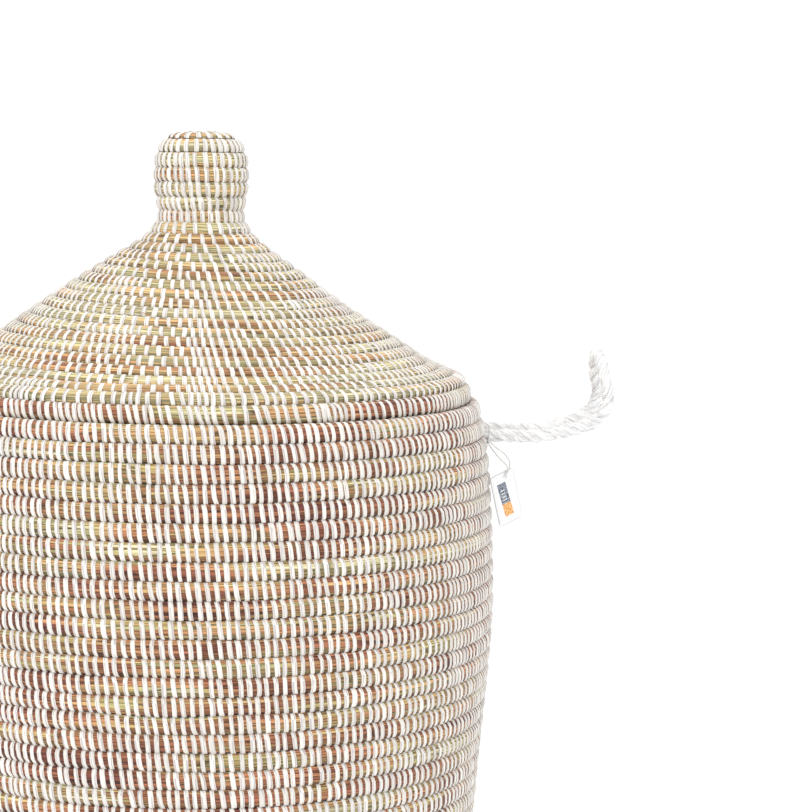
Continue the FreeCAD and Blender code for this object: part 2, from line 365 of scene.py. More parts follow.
# %% [markdown]
# The string is tied round the foot of the handle. The tied part is a small loop round the
# rope, drawn out towards the two strands that hang from it.

# %% Loop of string round the handle's foot
def string_loop():
    """A closed loop round the front leg: radius 5.4 mm, growing to 8.1 mm in the direction of
    the strands by a narrow bump, and leaning a little along the leg."""
    t = np.linspace(0, 2 * np.pi, 61)
    towards = math.atan2(-4.5, -6.6)
    off = (t - towards + np.pi) % (2 * np.pi) - np.pi
    radius = (5.4 + 2.7 * np.exp(-(off / 0.42) ** 2)) * MM
    x = 208.2 * MM + 0.5 * MM * np.sin(t)
    return np.stack([x, -LEG_Y + radius * np.cos(t), RIM_Z - LEG_DROP + radius * np.sin(t)], 1)


loop = rope_piece("tag_string_loop", tube_round(string_loop(), STRING_R, 8))
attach(loop, "basket")

# %% [markdown]
# ## Hang tag
# The tag is a small rounded card with a punched hole, hung a little askew and gently curled.
# It is a grid of rings from the hole to the outline, on both faces, so hole and edges are
# closed. Its map is the card's own width and height in millimetres, which places the print.

# %% Card
CARD_WIDTH, CARD_HEIGHT, CARD_THICKNESS = 24.0, 38.0, 0.8
CARD_CORNER_R = 3.0
CARD_HOLE_R = 1.7
CARD_HOLE_SIDE, CARD_HOLE_DROP = 2.5, 4.0
CARD_TURN, CARD_LEAN = 37.7, 16.0


def rounded_outline():
    """Outline of the card about its hole: a quarter circle of the corner's radius at each of
    the four corners, in order, with straight sides filled in evenly."""
    centre = np.array([-CARD_HOLE_SIDE, CARD_HOLE_DROP - CARD_HEIGHT / 2])
    half = np.array([CARD_WIDTH, CARD_HEIGHT]) / 2 - CARD_CORNER_R
    corner = np.repeat([(1, 1), (-1, 1), (-1, -1), (1, -1)], 9, axis=0)
    turn = np.tile(np.linspace(0, np.pi / 2, 9), 4) + np.repeat(np.arange(4), 9) * np.pi / 2
    outline = centre + half * corner + CARD_CORNER_R * np.stack([np.cos(turn), np.sin(turn)], 1)
    outline = np.r_[outline, outline[:1]]
    along = distance_along(outline)
    even = np.unique(np.r_[np.linspace(0, along[-1], 80, endpoint=False), along[:-1]])
    return resampled(outline, along, even)


def card_piece(name):
    """Rings between the hole and the outline, at shares of the way between them. The front is
    half the thickness forward, the back half the thickness behind, with softened edges."""
    outline = rounded_outline()
    angle = np.arctan2(outline[:, 1], outline[:, 0])
    hole = CARD_HOLE_R * np.stack([np.cos(angle), np.sin(angle)], 1)
    share = np.array([0.0, 0.02, 0.25, 0.5, 0.75, 0.985, 1.0])
    side = np.array([0.75, 1.0, 1.0, 1.0, 1.0, 1.0, 0.75]) * CARD_THICKNESS / 2
    share, side = np.r_[share, share[::-1]], np.r_[side, -side]
    flat = hole[None] + share[:, None, None] * (outline - hole)[None]
    curl = 0.6 * (flat[..., 1] / CARD_HEIGHT) ** 2 + 0.4 * (flat[..., 0] / CARD_WIDTH) ** 2
    local = np.concatenate([flat, (side[:, None] + curl)[..., None]], -1) * MM
    lean, turn = math.radians(CARD_LEAN), math.radians(CARD_TURN)
    place = (Matrix.Translation(in_metres([UPPER_STRAND[-1]])[0]) @ Matrix.Rotation(turn, 4, "Z")
             @ Matrix.Rotation(math.pi / 2, 4, "X") @ Matrix.Rotation(lean, 4, "Z"))
    place = np.array(place)
    world = local @ place[:3, :3].T + place[:3, 3]
    points, faces = joined_grids(world[None], True, True)[:2]
    uv = np.concatenate([flat, (side[:, None] + 0 * curl)[..., None]], -1).reshape(-1, 3)
    front = np.where(uv[faces][..., 2] > 0, 0.0, 100.0)
    return mesh_piece(name, points, faces[:, ::-1],
                      np.stack([uv[faces][..., 0] + front, uv[faces][..., 1]], -1)[:, ::-1])


card = card_piece("tag_card_curled")
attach(card, "hang_tag")
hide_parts("tag_card")

# %% [markdown]
# ## The shape of the coil
# In section the basket is one smooth line: flat from the middle of the base, up the barrel-
# shaped wall to the rim, and for the lid up the cone and the knob. The line is cut into equal
# courses. Each course is a rounded bundle pressed a little flat against its neighbours, and the
# joints between courses wander up and down by a fraction of a millimetre, as handwork does.

# %% Courses along a smooth line
def smooth_points(points, count):
    """Evenly spaced points on the Catmull-Rom curve through the given (radius, height) points:
    between two points it is the cubic whose end slopes are half the step across each point."""
    p = np.array(points, float)
    p = np.concatenate([2 * p[:1] - p[1:2], p, 2 * p[-1:] - p[-2:-1]])
    t = np.linspace(0, 1, 60, endpoint=False)[None, :, None]
    a, b, c, d = [p[k:len(p) - 3 + k, None] for k in range(4)]
    curve = 0.5 * (2 * b + (c - a) * t + (2 * a - 5 * b + 4 * c - d) * t ** 2
                   + (3 * b - a - 3 * c + d) * t ** 3)
    curve = np.concatenate([curve.reshape(-1, 2), p[-2:-1]])
    along = distance_along(curve)
    return resampled(curve, along, np.linspace(0, along[-1], count + 1))


WAVES = 6                    # waves that add up to each joint's wander
PRESSED = 0.2 * MM           # how far a course reaches past each of its joints


def make_coil(name, joints, thickness, wander, seed, square=0.72, level=(), free=(), swell=0.0):
    """A coil: its joints (radius, height) in metres, its thickness, and for each joint the
    sizes and phases of the waves that it wanders by. Joints in level stay flat, and joints in
    free have no neighbour pressed against them. Swell is how far the middle of the coil stands
    out on its left side."""
    rng = np.random.default_rng(seed)
    count = len(joints)
    size = rng.normal(0, wander / WAVES ** 0.5, (count, WAVES))
    size[list(level)] = 0
    phase = rng.uniform(0, 2 * np.pi, (count, WAVES))
    ahead = np.gradient(joints, axis=0)
    ahead /= np.linalg.norm(ahead, axis=1)[:, None]
    print(name, count - 1, "courses, radius", round(joints[:, 0].max() / MM, 1), "mm")
    share = np.linspace(0, 1, count)
    bulge = swell * (np.sin(np.pi * share) ** 2) ** 0.7
    return {"name": name, "joints": joints, "ahead": ahead, "size": size, "phase": phase,
            "thickness": thickness, "square": square, "bulge": bulge, "free": list(free)}


def joint_place(coil, joint, theta):
    """A joint's (radius, height) at azimuth theta: its own point moved along the line by a sum
    of sine waves in theta, and out of the line by the bulge times (1 - cos theta) / 2, squared."""
    order = np.arange(1, WAVES + 1) * 2 + 1
    wave = np.sin(theta[..., None] * order + coil["phase"][joint]) * coil["size"][joint]
    ahead = coil["ahead"][joint]
    out = np.stack([ahead[..., 1], -ahead[..., 0]], -1)
    left = ((1 - np.cos(theta)) / 2) ** 2
    return (coil["joints"][joint] + ahead * wave.sum(-1)[..., None]
            + out * (coil["bulge"][joint] * left)[..., None])


def coil_point(coil, course, theta, phi, proud=0.0, droop=0.0):
    """Point on a course at azimuth theta and section angle phi, raised by proud.
    The section is a superellipse between the course's two joints: half the thickness times
    |cos|^square across, and half the course times |sin|^square along the line. phi is 0 on the
    outside and 90 degrees towards the next joint. Droop moves the low side further down."""
    low = joint_place(coil, course, theta)
    high = joint_place(coil, course + 1, theta)
    middle = (low + high) / 2
    up = high - low
    half = np.linalg.norm(up, axis=-1) / 2
    up = up / (2 * half)[..., None]
    out = np.stack([up[..., 1], -up[..., 0]], -1)
    c, s = np.cos(phi), np.sin(phi)
    across = coil["thickness"] / 2 * np.sign(c) * np.abs(c) ** coil["square"] + proud * c
    along = (half + PRESSED) * np.sign(s) * np.abs(s) ** coil["square"] + proud * s
    along = along - droop * np.maximum(-s, 0) ** 2
    place = middle + out * across[..., None] + up * along[..., None]
    radius = np.maximum(place[..., 0], 0.15 * MM)
    return np.stack([radius * np.cos(theta), radius * np.sin(theta), place[..., 1]], -1)


def free_side(coil, course, phi):
    """1 on the low or the high half of a course where that joint is a free one, otherwise 0."""
    low = np.isin(course, coil["free"]) & (np.sin(phi) < 0)
    high = np.isin(course + 1, coil["free"]) & (np.sin(phi) > 0)
    return (low | high) * 1.0


# %% The four coils: base, wall, lid and knob
WALL_THICKNESS = 12.0 * MM
WALL_COURSES = 36
WALL_OUTLINE = [(0.0, 182.0), (0.12, 191.5), (0.27, 199.8), (0.43, 206.4), (0.52, 210.0),
                (0.60, 213.2), (0.69, 215.0), (0.78, 213.7), (0.87, 211.5), (0.94, 208.4),
                (1.0, 202.0)]
BASE_Z = 7.4 * MM
BUTTON_R = 13.0 * MM
LID_THICKNESS = 10.4 * MM
LID_EDGE_LINE = [(191.6, 0.0), (191.9, 6.5), (190.6, 12.2)]
LID_CONE_LINE = [(190.6, 12.2), (186.5, 14.8), (179.0, 17.6), (165.0, 23.6), (140.0, 40.0),
                 (113.0, 57.0), (88.0, 74.4), (64.0, 92.0), (44.8, 105.8), (33.2, 116.0),
                 (27.2, 126.5)]
KNOB_LINE = [(27.2, 126.5), (25.8, 133.5), (27.8, 141.0), (29.2, 149.0), (29.8, 157.0),
             (29.7, 166.0), (29.0, 174.5), (26.2, 181.8), (21.5, 186.3), (13.0, 187.8)]
KNOB_THICKNESS = 8.8 * MM
MIDDLE_R = 0.4 * MM          # how near the axis a coil's first turn starts


def above_rim(points):
    """(radius, height) points of the lid, in metres in the row frame."""
    return np.array(points) * MM + [0, LID_Z]


wall_line = [(r * MM - WALL_THICKNESS / 2, share * RIM_Z) for share, r in WALL_OUTLINE]
wall_joints = smooth_points(wall_line, WALL_COURSES)
base_r = wall_joints[:2, 0].mean() - WALL_THICKNESS / 2
base_radii = np.r_[MIDDLE_R, np.linspace(BUTTON_R, base_r, 13)]
base_joints = np.stack([base_radii, np.full(14, BASE_Z)], 1)
cone_joints = smooth_points(above_rim(LID_CONE_LINE), 19)
edge_joints = smooth_points(above_rim(LID_EDGE_LINE), 1)
knob_joints = smooth_points(above_rim(KNOB_LINE), 7)
knob_joints = np.concatenate([knob_joints, [(MIDDLE_R, knob_joints[-1, 1])]])
ring_r = 186.4 * MM - LID_THICKNESS / 2
ring_joints = np.array([(ring_r, LID_Z - 9.6 * MM), (ring_r, LID_Z + 3.0 * MM)])

wall = make_coil("wall", wall_joints, WALL_THICKNESS, 0.42 * MM, 11, level=(0, WALL_COURSES),
                 free=(0, WALL_COURSES))
base = make_coil("base", base_joints, WALL_THICKNESS, 0.3 * MM, 12, level=(0,))
edge = make_coil("edge", edge_joints, LID_THICKNESS, 0.25 * MM, 13, level=(0,), free=(1,))
cone = make_coil("cone", cone_joints, LID_THICKNESS, 0.35 * MM, 14, free=(0,), swell=6.5 * MM)
knob = make_coil("knob", knob_joints, KNOB_THICKNESS, 0.3 * MM, 15, level=(8,), free=(7, 8))
ring = make_coil("ring", ring_joints, LID_THICKNESS, 0.2 * MM, 16, free=(0, 1))

# %% [markdown]
# ## Grass courses
# The bundle itself is a closed ring for each course, one turn of the coil. A turn rises by only
# half a degree, so rings and a spiral look the same. Each ring's texture map runs along the
# coil in metres and round its section, so that the straws can run with the bundle and every
# course gets its own stretch of straw colours.

# %% Grass pieces
AROUND = 24                  # points round a course's section
GRASS_STEP = 9.0 * MM        # distance between points along a course


def course_radius(coil, course):
    """Radius of a course's middle, halfway between its two joints."""
    return (coil["joints"][course, 0] + coil["joints"][course + 1, 0]) / 2


def grass_piece(name, coil, first, last, start):
    """Rings of courses first to last (counted from 0). start sets where on the texture map."""
    radius = coil["joints"][first:last + 2, 0].max()
    turns = int(np.clip(round(2 * np.pi * radius / GRASS_STEP), 36, 150))
    theta = even_angles(turns)
    phi = even_angles(AROUND) + np.pi
    course = np.arange(first, last + 1)
    k, t, p = np.meshgrid(course, theta, phi, indexing="ij")
    seam = np.pi / 2 + 2.2 * ((course * 0.618) % 1 - 0.5)
    t = t + seam[:, None, None]
    points, faces, corner_i, corner_j = joined_grids(coil_point(coil, k, t, p), True, True)
    along = corner_i[None] / turns * 2 * np.pi * course_radius(coil, course)[:, None, None]
    across = corner_j[None] / AROUND + (course + start)[:, None, None]
    along = along + (course * 0.37)[:, None, None]
    uv = np.stack([along, across + 0 * along], -1).reshape(-1, 4, 2)
    return mesh_piece(name, points, faces, uv, {"free": free_side(coil, k, p)})


# %% [markdown]
# ## Stitches
# The maker works outwards from the start of the coil. Each new stitch goes in beside a stitch
# of the course before, a little further round, so the stitches stand in leaning columns. When
# a course grows longer, the gaps grow too, and where one gets widest an extra stitch goes in
# and a column forks. On part of the lid the maker split the gaps instead, so the stitches there
# are staggered like bricks. All of that is a rule for where each course's stitches sit.

# %% Where the stitches sit
def gaps_of(theta):
    """Gap from each stitch to the next one round the course."""
    return np.diff(np.r_[theta, theta[0] + 2 * np.pi])


def next_course(theta, wanted, lean, stagger, rng):
    """Azimuths of the next course's stitches: the last ones moved by lean (radians) and, where
    stagger(theta) is 1, by half a gap. The widest gaps get an extra stitch, or the narrowest
    lose one, until there are as many as wanted. Then each stitch goes part of the way to the
    middle between its neighbours, twice, which keeps the columns even."""
    moved = np.sort((theta + lean + 0.5 * gaps_of(theta) * stagger(theta)) % (2 * np.pi))
    gap = gaps_of(moved)
    order = np.argsort(gap + rng.uniform(0, 0.3, len(gap)) * gap.mean())
    if wanted > len(moved):
        wide = order[len(moved) - wanted:]
        moved = np.sort(np.r_[moved, moved[wide] + gap[wide] / 2])
    elif wanted < len(moved):
        moved = np.delete(moved, order[:len(moved) - wanted])
    for _ in range(2):
        gap = gaps_of(moved)
        moved = moved + 0.24 * (gap - np.roll(gap, 1))
    return np.sort(moved % (2 * np.pi))


def no_stagger(theta):
    """Stitches stand straight above each other all the way round."""
    return 0 * theta


def brick_side(theta):
    """1 on the front left of the lid, falling to 0 just right of its middle."""
    turn = (theta + np.pi / 2 + np.pi) % (2 * np.pi) - np.pi
    return np.clip((0.02 - turn) / 0.10, 0, 1) * np.clip((turn + 2.6) / 0.2, 0, 1)


def stitch_rows(coil, pitch, lean, stagger, seed, outward=True, begin=None):
    """Stitches of every course of a coil, worked from its first course or from its last, and
    going on from the row called begin where another coil ended."""
    rng = np.random.default_rng(seed)
    radius = course_radius(coil, np.arange(len(coil["joints"]) - 1))
    order = range(len(radius)) if outward else range(len(radius) - 1, -1, -1)
    rows = [None] * len(radius)
    theta = begin
    for k in order:
        wanted = max(7, int(round(2 * np.pi * radius[k] / pitch)))
        if theta is None:
            theta = np.arange(wanted) / wanted * 2 * np.pi
        else:
            theta = next_course(theta, wanted, lean / radius[k], stagger, rng)
        rows[k] = theta
    return rows


# %% [markdown]
# A stitch is a flat strip of plastic folded narrow. It wraps the course once: down the outside
# with a lean, and back up the inside. Its path follows the coil's own section a little proud of
# the grass, its edges are tucked into the straw, and at the bottom it dips towards the course
# below, where it pierces. There are thousands of stitches, so each has only a few dozen faces.

# %% Stitch pieces
ROUND = 12                   # points along one wrap
STITCH_DRIFT = 0.34 * MM     # how far a stitch strays from its even place
STITCH_DIP = 0.8 * MM        # how far a stitch reaches into the course below
STRIP_PROUD = 0.5 * MM       # how far a strip stands out of the grass
STRIP_PROFILE = np.array([(-0.50, -0.40), (-0.40, 0.50), (0.40, 0.50), (0.50, -0.40)])


def stitch_piece(name, coil, rows, first, last, width, slant, seed):
    """Strips round courses first to last. A strip's points are the coil's points at azimuth
    (place + slant down the outside + offset across) and height STRIP_PROUD times its profile."""
    rng = np.random.default_rng(seed)
    course = np.concatenate([np.full(len(rows[k]), k) for k in range(first, last + 1)])
    place = np.concatenate(rows[first:last + 1])
    count = len(place)
    low_r = np.maximum(coil["joints"][course, 0], 20 * MM)
    place = place + rng.normal(0, STITCH_DRIFT, count) / low_r
    radius = np.maximum(course_radius(coil, course), 6 * MM)
    wide = width * rng.normal(1, 0.09, count).clip(0.7, 1.3)
    fall = slant * rng.normal(1, 0.28, count)
    bend = rng.normal(0, 0.25, count) * MM
    high = STRIP_PROUD * rng.normal(1, 0.18, count).clip(0.5, 1.6)
    phi = (np.arange(ROUND) + 0.5) * 2 * np.pi / ROUND
    shift = (-0.5 * fall[:, None] * np.sin(phi) + bend[:, None] * np.cos(2 * phi)) / radius[:, None]
    across = wide[:, None] * STRIP_PROFILE[:, 0] / radius[:, None]
    theta = place[:, None, None] + shift[:, :, None] + across[:, None, :]
    tight = 1 - 0.75 * np.abs(np.sin(phi)) ** 3
    lift = high[:, None, None] * STRIP_PROFILE[:, 1] / 0.5 * tight[:, None] + 0 * theta
    k = np.broadcast_to(course[:, None, None], theta.shape)
    p = np.broadcast_to(phi[None, :, None], theta.shape)
    grids = coil_point(coil, k, theta, p, proud=lift, droop=STITCH_DIP)
    grids[..., 2] = np.maximum(grids[..., 2], 0.1 * MM)
    points, faces, corner_i, corner_j = joined_grids(grids, True, True)
    cols = len(STRIP_PROFILE)
    uv = np.stack([corner_j / cols, corner_i / ROUND], -1)
    uv = np.tile(uv, (count, 1, 1))
    uv[..., 0] += np.repeat(rng.integers(0, 40, count), ROUND * cols)[:, None]
    tint = np.repeat(rng.uniform(0, 1, count), ROUND * cols)
    return mesh_piece(name, points, faces[:, ::-1], uv[:, ::-1],
                      {"tint": tint, "free": free_side(coil, k, p)})


# %% Wind and stitch every stretch of coil
WALL_PITCH = 5.85 * MM
LID_PITCH = 7.0 * MM
# coil, distance between stitches, lean from course to course, stagger, seed, order, first row
base_rows = stitch_rows(base, 6.2 * MM, 0.6 * MM, no_stagger, 22)
wall_rows = stitch_rows(wall, WALL_PITCH, -0.45 * MM, no_stagger, 21, begin=base_rows[-1])
knob_rows = stitch_rows(knob, 4.95 * MM, 0.9 * MM, no_stagger, 25, outward=False)
cone_rows = stitch_rows(cone, LID_PITCH, 1.0 * MM, brick_side, 23, False, knob_rows[0])
edge_rows = stitch_rows(edge, 5.9 * MM, 0.5 * MM, no_stagger, 24, False, cone_rows[0])
ring_rows = stitch_rows(ring, 6.2 * MM, 0, no_stagger, 26, False, edge_rows[0])

stretches = [
    # body, coil, rows, and each node with its last course, strip width and slant in mm
    ("basket", base, base_rows, [
        ("base_button", 0, 3.0, 1.0), ("base_inner_courses", 6, 3.1, 1.5),
        ("base_outer_courses", 12, 3.1, 1.5)]),
    ("basket", wall, wall_rows, [
        ("foot_course", 0, 3.7, 2.0), ("wall_courses_02_to_08", 7, 3.7, 2.0),
        ("wall_courses_09_to_15", 14, 3.7, 2.0), ("wall_courses_16_to_22", 21, 3.7, 2.0),
        ("wall_courses_23_to_29", 28, 3.7, 2.0), ("wall_courses_30_to_35", 34, 3.7, 2.0),
        ("rim_course", 35, 3.7, 2.6)]),
    ("lid", ring, ring_rows, [("lid_locating_ring", 0, 3.2, 1.5)]),
    ("lid", edge, edge_rows, [("lid_edge_course", 0, 3.5, 3.6)]),
    ("lid", cone, cone_rows, [
        ("lid_courses_01_to_06", 5, 3.5, 1.2), ("lid_courses_07_to_12", 11, 3.4, 1.2),
        ("lid_courses_13_to_19", 18, 3.2, 1.2)]),
    ("lid", knob, knob_rows, [
        ("knob_courses_01_to_03", 2, 3.5, 0.9), ("knob_courses_04_to_07", 6, 3.5, 0.9),
        ("knob_button", 7, 2.6, 0.3)]),
]
grass_pieces, strip_pieces, pale_pieces = [], [], []
for body, coil, rows, nodes in stretches:
    first = 0
    for node, last, width, slant in nodes:
        number = len(grass_pieces)
        grass = grass_piece("grass_" + node, coil, first, last, 41 * (number // 3))
        strips = stitch_piece("stitches_" + node, coil, rows, first, last, width * MM,
                              slant * MM, 100 + number)
        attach(grass, body)
        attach(strips, body)
        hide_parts(node)
        grass_pieces.append(grass)
        strip_pieces.append(strips)
        if coil["name"] in ("ring", "cone", "knob"):
            pale_pieces.append(grass)
        first = last + 1
print("stitches", sum(len(p.data.polygons) for p in strip_pieces) // (ROUND * 4),
      "triangles", 2 * sum(len(p.data.polygons) for p in grass_pieces + strip_pieces))

# %% [markdown]
# Here and there the end of a straw has slipped out between two courses. Each is a thin tube
# that starts in a joint, runs along the coil and bends away from it.

# %% Loose straw ends
def loose_straws(name, body, coil, first, last, count, seed):
    """Tubes from random joints: at share t of its length a straw has moved t along the coil, up
    by its slope, and out by its lift less t squared times its curl."""
    rng = np.random.default_rng(seed)
    t = np.linspace(0, 1, 6)[:, None]
    tubes = []
    for _ in range(count):
        course = rng.integers(first, last + 1)
        theta = rng.choice([0, np.pi]) + rng.uniform(0.4, np.pi - 0.4)
        at = coil, course, np.array(theta)
        start = coil_point(*at, np.array(-1.15))
        out = coil_point(*at, np.array(0.0), 1.0) - coil_point(*at, np.array(0.0))
        along = np.array([-math.sin(theta), math.cos(theta), 0]) * rng.choice([-1, 1])
        above = np.cross(out, along)
        length, slope = rng.uniform(4, 9) * MM, rng.uniform(-0.9, 0.9)
        lift, curl = rng.uniform(1.5, 4.0) * MM, rng.uniform(0, 1.5) * MM
        line = (start + length * t * (along + slope * above) + out * (lift * t - curl * t ** 2))
        tubes.append(tube_round(line, np.linspace(0.42, 0.18, 6) * MM, 6))
    straws = rope_piece(name, np.concatenate(tubes))
    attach(straws, body)
    return straws


straws = [loose_straws("loose_straws_wall", "basket", wall, 2, 33, 70, 31),
          loose_straws("loose_straws_lid", "lid", cone, 2, 16, 30, 32)]
print("loose straw faces", [len(piece.data.polygons) for piece in straws])

# %% [markdown]
# ## Materials
# A finish here is a small network of nodes. One helper adds a node, sets its fixed inputs and
# links the ones that are given as another node's output, so a finish reads as a list of steps.

# %% Helpers for finishes
tree = None                  # the network of the material that is being made


def add(kind, inputs=None, out=0, **settings):
    """Adds a node, sets or links its inputs, and returns the output asked for."""
    node = tree.nodes.new("ShaderNode" + kind)
    for key, value in settings.items():
        setattr(node, key, value)
    for key, value in (inputs or {}).items():
        if isinstance(value, bpy.types.NodeSocket):
            tree.links.new(value, node.inputs[key])
        else:
            node.inputs[key].default_value = value
    return node.outputs[out]


def maths(operation, a, b=0.0, c=0.0):
    """One sum on numbers: a operation b, or a, b and c."""
    return add("Math", {0: a, 1: b, 2: c}, operation=operation)


def between(value, low, high, to_low=0.0, to_high=1.0):
    """Smooth step: to_low where value is under low, to_high where it is over high."""
    return add("MapRange", {0: value, 1: low, 2: high, 3: to_low, 4: to_high},
               interpolation_type="SMOOTHSTEP")


def stretched(vector, scale):
    """A map or place times a number for each axis."""
    return add("VectorMath", {0: vector, 1: scale}, operation="MULTIPLY")


def blended(share, a, b, how="MIX"):
    """Colour a to colour b by share."""
    return add("Mix", {0: share, 6: a, 7: b}, out=2, data_type="RGBA", blend_type=how)


def linear(red, green, blue):
    """A screen colour from 0 to 255 as the linear light that shaders work in:
    ((c + 0.055) / 1.055) to the power 2.4, or c / 12.92 when dark."""
    c = np.array([red, green, blue]) / 255
    c = np.where(c > 0.04045, ((c + 0.055) / 1.055) ** 2.4, c / 12.92)
    return (*[float(v) for v in c], 1.0)


def new_material(name, **fixed):
    """Material with one Principled shader, on which the fixed values are set. From then on the
    helpers add their nodes to this material's network."""
    global tree
    material = bpy.data.materials.new(name)
    material.use_nodes = True
    tree = material.node_tree
    shader = tree.nodes["Principled BSDF"]
    for key, value in fixed.items():
        shader.inputs[key.replace("_", " ")].default_value = value
    return material, shader


def finish_surface(shader, color, roughness=None, height=None, depth=0.0):
    """Links colour and roughness to the shader, and a height in metres times depth as bump."""
    tree.links.new(color, shader.inputs["Base Color"])
    if roughness is not None:
        tree.links.new(roughness, shader.inputs["Roughness"])
    if height is not None:
        bump = add("Bump", {"Height": height, "Distance": depth, "Strength": 1.0})
        tree.links.new(bump, shader.inputs["Normal"])


def map_of():
    """The piece's own texture map, and its first and second number."""
    uv = add("UVMap", uv_map="UVMap")
    return uv, add("SeparateXYZ", {0: uv}), add("SeparateXYZ", {0: uv}, out=1)


def times(a, b):
    """Two numbers multiplied."""
    return maths("MULTIPLY", a, b)


def noise(vector, scale, detail, **more):
    """Soft noise on a map that is first multiplied by scale."""
    return add("TexNoise", {"Vector": stretched(vector, (*scale, 0.0)), "Scale": 1.0,
                            "Detail": detail, **more}, noise_dimensions="2D")


def cell_edge(cells):
    """How far a point is from the edge of its cell, for cells of size 1."""
    return add("TexVoronoi", {"Vector": cells, "Scale": 1.0}, out="Distance",
               voronoi_dimensions="2D", feature="DISTANCE_TO_EDGE")


def painted_joint_shade(round_share, middle, low, high, dark=0.0):
    """1 away from a course's two joints and dark in them, as painted shade in the grooves. The
    distance from a joint is |fract(2 round_share) - middle|. A free side, which is marked on the
    piece, stays 1."""
    turn = maths("FRACT", times(round_share, 2.0))
    distance = maths("ABSOLUTE", maths("SUBTRACT", turn, middle))
    free = add("Attribute", attribute_name="free", out="Fac")
    return maths("MAXIMUM", free, between(distance, low, high, dark))


# %% [markdown]
# ### Grass
# A bundle is dozens of dry straws, each a narrow streak a hand long, in the colours that grass
# dries to: terracotta, tan, gold, olive, straw and maroon. Long cells stretched along the coil make
# the streaks. A slow noise favours one colour for a stretch, because the maker feeds in a handful
# of similar stems at a time. Straw edges are darker. The joints between courses are darkened as
# painted shade, and the low side of each course is painted darker than the high side, as painted
# shade and painted light from above.

# %% Grass finish
STRAWS_A_METRE = 13.0        # straws along a metre of coil
STRAWS_ROUND = 20.0          # straws round a course


def grass_material(name, stops, seed, low_side_shade, high_side_light, groove_shade_reach):
    """Grass in the given colours, which the straws pick by chance and by stretch. The two side
    numbers say how bright the low and the high side of each course are painted, as painted shade on
    the low side and painted light on the high side, and the last number how far the painted shade
    in the joints reaches."""
    material, shader = new_material(name, Sheen_Weight=0.1, Specular_IOR_Level=0.25)
    uv, _, round_share = map_of()
    shifted = add("VectorMath", {0: uv, 1: (seed, 0, 0)}, operation="ADD")
    cells = stretched(shifted, (STRAWS_A_METRE, STRAWS_ROUND, 0.0))
    cell_color = add("TexVoronoi", {"Vector": cells, "Scale": 1.0}, out="Color",
                     voronoi_dimensions="2D")
    edge = cell_edge(cells)
    chance = add("SeparateColor", {0: cell_color})
    chance_two = add("SeparateColor", {0: cell_color}, out=1)
    stretch = noise(shifted, (9.0, 1.37), 2.0)
    streak = noise(shifted, (30.0, 62.0), 3.0)
    patch = between(stretch, 0.34, 0.66)
    pick = maths("MULTIPLY_ADD", chance, 0.45, times(patch, 0.55))
    ramp = tree.nodes.new("ShaderNodeValToRGB")
    while len(ramp.color_ramp.elements) < len(stops):
        ramp.color_ramp.elements.new(0.5)
    for element, (place, color) in zip(ramp.color_ramp.elements, stops):
        element.position = place
        element.color = linear(*color)
    tree.links.new(pick, ramp.inputs[0])
    across = maths("FRACT", round_share)
    bright = between(chance_two, 0.0, 1.0, 0.68, 1.24)
    # Painted shade: the joints between courses are darkened to 0.06, and the low side of each
    # course is darker than the high side, as painted shade and painted light from above.
    for share in (between(streak, 0.34, 0.66, 0.66, 1.26),
                  between(edge, 0.0, 0.12, 0.26, 1.0),
                  painted_joint_shade(across, 0.5, groove_shade_reach - 0.07, groove_shade_reach, 0.06),
                  between(across, 0.28, 0.60, low_side_shade, high_side_light)):
        bright = times(bright, share)
    grey = add("CombineColor", {0: bright, 1: bright, 2: bright})
    color = blended(1.0, ramp.outputs[0], grey, "MULTIPLY")
    height = maths("MULTIPLY_ADD", between(edge, 0.0, 0.22), 0.7, times(streak, 0.6))
    finish_surface(shader, color, between(streak, 0.3, 0.7, 0.48, 0.72), height, 0.5 * MM)
    return material


WALL_STRAWS = [(0.00, (100, 56, 50)), (0.12, (144, 87, 70)), (0.30, (180, 117, 86)),
               (0.48, (202, 144, 102)), (0.62, (210, 166, 116)), (0.76, (212, 184, 124)),
               (0.89, (198, 190, 134)), (1.00, (238, 222, 184))]
LID_STRAWS = [(0.00, (150, 96, 76)), (0.06, (198, 138, 94)), (0.19, (218, 166, 114)),
              (0.36, (226, 188, 132)), (0.54, (224, 199, 144)), (0.70, (208, 202, 150)),
              (0.84, (232, 216, 168)), (1.00, (243, 233, 201))]
wall_grass = grass_material("wall_grass", WALL_STRAWS, 0.0, 0.38, 0.96, 0.14)
lid_grass = grass_material("lid_grass", LID_STRAWS, 31.7, 0.70, 0.97, 0.09)
loose_straw, shader = new_material("loose_straw", Specular_IOR_Level=0.25, Roughness=0.6)
change = add("TexNoise", {"Vector": add("TexCoord", out="Object"), "Scale": 60.0})
change = between(change, 0.4, 0.6)
finish_surface(shader, blended(change, linear(150, 92, 62), linear(216, 178, 120)))
print("grass colours", len(WALL_STRAWS), "and", len(LID_STRAWS))
